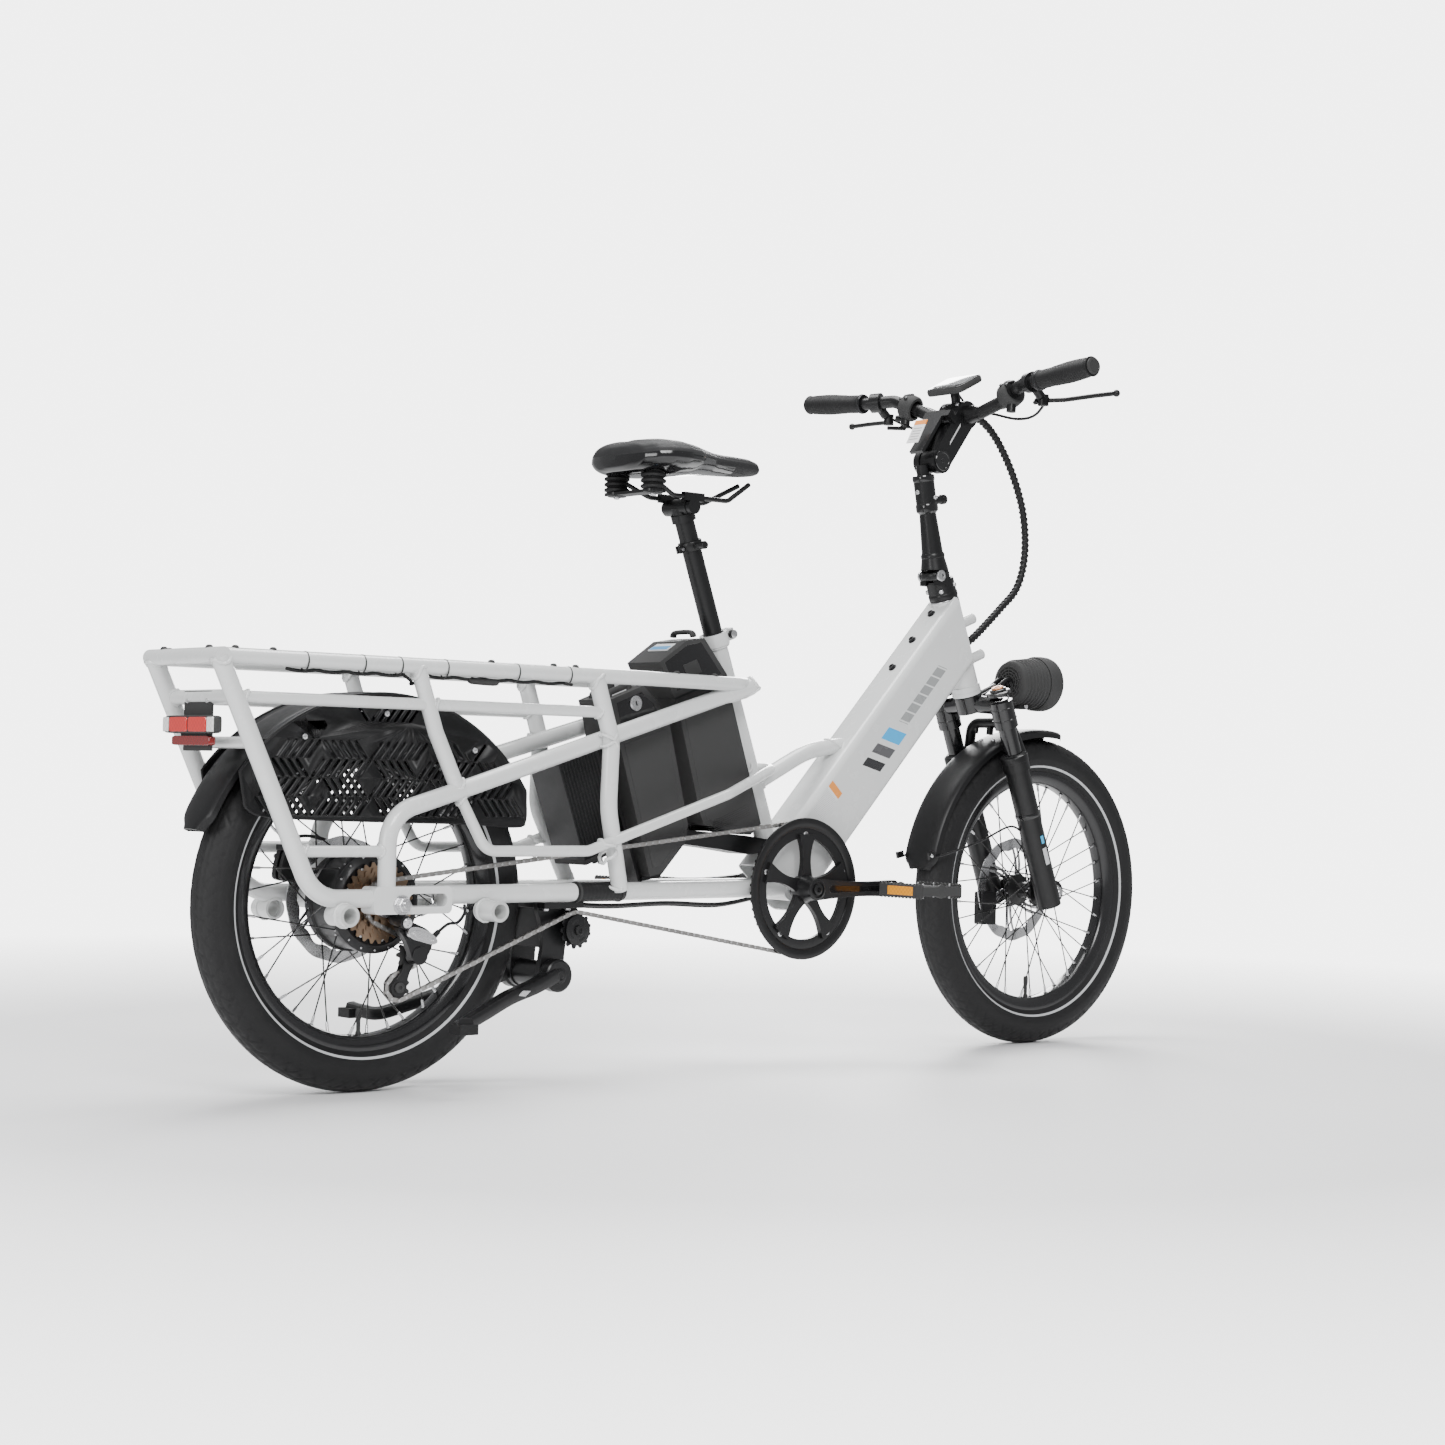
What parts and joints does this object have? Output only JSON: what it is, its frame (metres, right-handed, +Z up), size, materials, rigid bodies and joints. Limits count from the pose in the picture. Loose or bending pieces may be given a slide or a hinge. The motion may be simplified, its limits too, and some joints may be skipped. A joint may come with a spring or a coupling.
{
  "type": "cargo bicycle",
  "caption": "Long-tail cargo bicycle with a low step-through frame, rear rack rails, two battery packs, hub motor, folding handlebar mast and double kickstand.",
  "frame": {"origin": "middle of the bicycle's length and width, on the ground under the tyres", "axes": "+X forward, +Y to the rider's left, +Z up; the drive side is -Y, the wheels point straight ahead and the kickstand is folded"},
  "size_m": [1.9365, 0.6776, 1.1543],
  "materials": {
    "frame_paint": "gloss",
    "black_paint": "satin",
    "black_plastic": "matte",
    "gloss_black": "gloss",
    "tyre": "matte",
    "rim": "satin",
    "steel": "satin",
    "dark_steel": "satin",
    "bronze_steel": "satin",
    "rubber": "matte",
    "leather": "matte",
    "lens_red": "gloss",
    "stem_black": "satin"
  },
  "bodies": {
    "frame": {"head_tube": "frame_paint", "down_tube": "frame_paint", "seat_tube": "frame_paint", "top_rail_loop": "frame_paint", "second_rails": "frame_paint", "rear_posts": "frame_paint", "main_stays": "frame_paint", "rack_posts": "frame_paint", "lower_stay_loop": "frame_paint", "chainstays": "frame_paint", "rack_crossbars": "frame_paint", "footboard_stubs": "frame_paint", "battery_mounts": "black_paint", "controller_box": "black_plastic", "rear_fender": "black_plastic", "wheel_skirts": "black_plastic", "tail_light": "lens_red", "frame_wiring": "rubber", "rear_caliper": "dark_steel", "rear_axle": "steel", "derailleur_body": "dark_steel", "kickstand_bracket": "black_paint", "chain": "steel"},
    "steering": {"fork_crown": "stem_black", "headlight": "gloss_black", "mast_base": "black_paint", "cockpit_cables": "rubber"},
    "mast": {"mast": "stem_black"},
    "stem": {"stem": "stem_black", "handlebar": "black_paint", "grips": "rubber", "display": "black_plastic", "lever_perches": "stem_black"},
    "stem_lever": {"stem_lever": "stem_black"},
    "brake_right": {"brake_lever_right": "stem_black"},
    "brake_left": {"brake_lever_left": "stem_black"},
    "throttle": {"throttle_lever": "black_plastic"},
    "lowers": {"fork_lowers": "stem_black", "front_fender": "black_plastic"},
    "front_wheel": {"front_tyre": "tyre", "front_rim": "rim", "front_spokes": "dark_steel", "front_hub": "stem_black"},
    "rear_wheel": {"rear_tyre": "tyre", "rear_rim": "rim", "rear_spokes": "dark_steel", "hub_motor": "stem_black"},
    "cassette": {"cassette": "bronze_steel"},
    "crank": {"crankset": "stem_black"},
    "pedal_right": {"pedal_right": "stem_black"},
    "pedal_left": {"pedal_left": "stem_black"},
    "idler": {"idler_pulley": "dark_steel"},
    "derailleur_cage": {"derailleur_cage": "dark_steel"},
    "kickstand": {"kickstand_legs": "black_paint"},
    "battery_rear": {"battery_rear": "black_plastic"},
    "battery_front": {"battery_front": "black_plastic"},
    "seatpost": {"seatpost": "black_paint"},
    "saddle": {"saddle": "leather", "saddle_frame": "dark_steel"},
    "seat_lever": {"seat_collar_lever": "stem_black"}
  },
  "joints": [
    {"name": "steer", "type": "hinge", "parent": "frame", "child": "steering", "pos_m": [0.51005, 0, 0.68], "axis": [-0.3584, 0, 0.9336], "range_deg": [-60, 60]},
    {"name": "fork_travel", "type": "slide", "parent": "steering", "child": "lowers", "axis": [-0.3584, 0, 0.9336], "range_m": [0, 0.03], "stiffness_N_per_m": 9000, "springref_m": -0.03},
    {"name": "front_wheel_spin", "type": "hinge", "parent": "lowers", "child": "front_wheel", "pos_m": [0.70305, 0, 0.265], "axis": [0, 1, 0], "continuous": true},
    {"name": "rear_wheel_spin", "type": "hinge", "parent": "frame", "child": "rear_wheel", "pos_m": [-0.67195, 0, 0.265], "axis": [0, 1, 0], "continuous": true},
    {"name": "crank_spin", "type": "hinge", "parent": "frame", "child": "crank", "pos_m": [0.11305, 0, 0.277], "axis": [0, 1, 0], "continuous": true},
    {"name": "pedal_right_spin", "type": "hinge", "parent": "crank", "child": "pedal_right", "pos_m": [0.28305, -0.1, 0.277], "axis": [0, 1, 0], "continuous": true},
    {"name": "pedal_left_spin", "type": "hinge", "parent": "crank", "child": "pedal_left", "pos_m": [-0.05695, 0.1, 0.277], "axis": [0, 1, 0], "continuous": true},
    {"name": "cassette_spin", "type": "hinge", "parent": "frame", "child": "cassette", "pos_m": [-0.67195, -0.055, 0.265], "axis": [0, 1, 0], "continuous": true},
    {"name": "idler_spin", "type": "hinge", "parent": "frame", "child": "idler", "pos_m": [-0.33495, -0.055, 0.221], "axis": [0, 1, 0], "continuous": true},
    {"name": "derailleur_cage_pivot", "type": "hinge", "parent": "frame", "child": "derailleur_cage", "pos_m": [-0.62795, -0.065, 0.193], "axis": [0, 1, 0], "range_deg": [-8, 8], "stiffness_Nm_per_rad": 3},
    {"name": "kickstand_swing", "type": "hinge", "parent": "frame", "child": "kickstand", "pos_m": [-0.36695, 0, 0.155], "axis": [0, -1, 0], "range_deg": [0, 78]},
    {"name": "battery_rear_lift", "type": "slide", "parent": "frame", "child": "battery_rear", "axis": [-0.3502, 0, 0.9367], "range_m": [0, 0.11]},
    {"name": "battery_front_lift", "type": "slide", "parent": "frame", "child": "battery_front", "axis": [-0.3502, 0, 0.9367], "range_m": [0, 0.11]},
    {"name": "seatpost_height", "type": "slide", "parent": "frame", "child": "seatpost", "axis": [-0.3502, 0, 0.9367], "range_m": [-0.06, 0.08]},
    {"name": "saddle_tilt", "type": "hinge", "parent": "seatpost", "child": "saddle", "pos_m": [-0.10688, 0, 0.86523], "axis": [0, 1, 0], "range_deg": [-12, 12]},
    {"name": "seat_lever_swing", "type": "hinge", "parent": "frame", "child": "seat_lever", "pos_m": [-0.00571, 0, 0.67459], "axis": [0, 1, 0], "range_deg": [-60, 60]},
    {"name": "mast_fold", "type": "hinge", "parent": "steering", "child": "mast", "pos_m": [0.44805, 0, 0.797], "axis": [0, -1, 0], "range_deg": [0, 90], "deforming": ["cockpit_cables"]},
    {"name": "stem_tilt", "type": "hinge", "parent": "mast", "child": "stem", "pos_m": [0.44305, 0, 0.99], "axis": [0, 1, 0], "range_deg": [-10, 25]},
    {"name": "stem_lever_swing", "type": "hinge", "parent": "stem", "child": "stem_lever", "pos_m": [0.46505, 0, 1.063], "axis": [0, 1, 0], "range_deg": [0, 50]},
    {"name": "brake_right_pull", "type": "hinge", "parent": "stem", "child": "brake_right", "pos_m": [0.51707, -0.1816, 1.08534], "axis": [0, 0, -1], "range_deg": [0, 14], "stiffness_Nm_per_rad": 2, "springref_deg": -11.46},
    {"name": "brake_left_pull", "type": "hinge", "parent": "stem", "child": "brake_left", "pos_m": [0.51707, 0.1816, 1.08534], "axis": [0, 0, 1], "range_deg": [0, 14], "stiffness_Nm_per_rad": 2, "springref_deg": -11.46},
    {"name": "throttle_push", "type": "hinge", "parent": "stem", "child": "throttle", "pos_m": [0.5013, 0.12421, 1.07739], "axis": [0, 0, 1], "range_deg": [0, 25], "stiffness_Nm_per_rad": 0.2, "springref_deg": -5.73}
  ],
  "couplings": [
    {"joint": "cassette_spin", "follows": "crank_spin", "ratio": 3.4667},
    {"joint": "idler_spin", "follows": "crank_spin", "ratio": -4}
  ]
}
